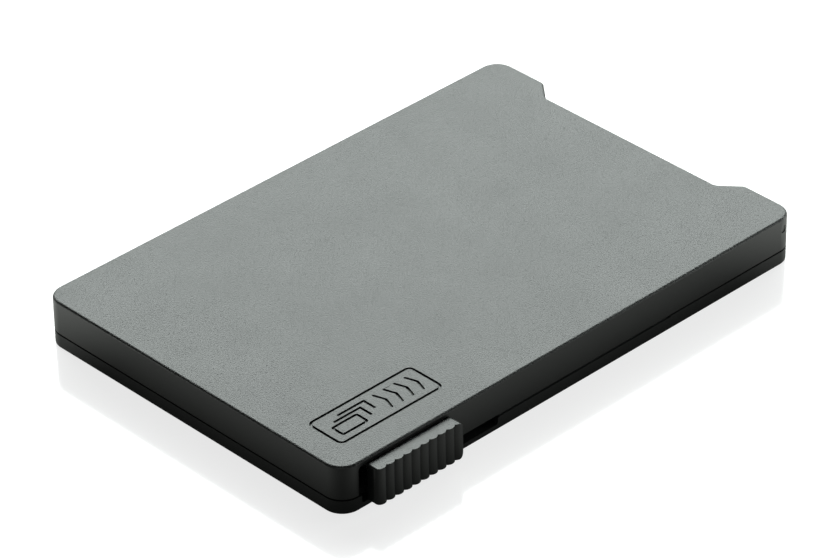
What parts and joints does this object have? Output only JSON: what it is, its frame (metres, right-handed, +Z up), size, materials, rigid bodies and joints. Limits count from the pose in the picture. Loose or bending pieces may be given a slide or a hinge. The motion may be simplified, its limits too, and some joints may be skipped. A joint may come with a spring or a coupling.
{
  "type": "minimalist wallet",
  "caption": "Slim hard-shell card holder with a ribbed side slider that drives a stepped pusher and fans cards out of an open notched end.",
  "frame": {"origin": "centre of the case's flat underside", "axes": "+X along the length, out of the open card mouth; +Z up, through the thickness; the thumb grip is on the -Y side near the closed end"},
  "size_m": [0.095, 0.0665, 0.0082],
  "materials": {
    "shell_plastic": "fine spark-eroded texture, satin black",
    "grip_plastic": "satin black, moulded ribs",
    "pusher_plastic": "smooth matte black",
    "shield_aluminium": "rolled sheet",
    "adhesive_film": "thin double-sided film",
    "spring_steel": "rolled stainless strip"
  },
  "bodies": {
    "case": {"upper_shell": "shell_plastic", "lower_shell": "shell_plastic", "upper_shield_sheet": "shield_aluminium", "upper_shield_tape": "adhesive_film", "lower_shield_sheet": "shield_aluminium", "lower_shield_tape": "adhesive_film", "left_card_spring": "spring_steel", "right_card_spring": "spring_steel"},
    "slider": {"card_pusher": "pusher_plastic", "thumb_grip": "grip_plastic", "brake_spring": "spring_steel"}
  },
  "joints": [
    {"name": "slider_slide", "type": "slide", "parent": "case", "child": "slider", "axis": [1, 0, 0], "range_m": [0, 0.02]}
  ]
}
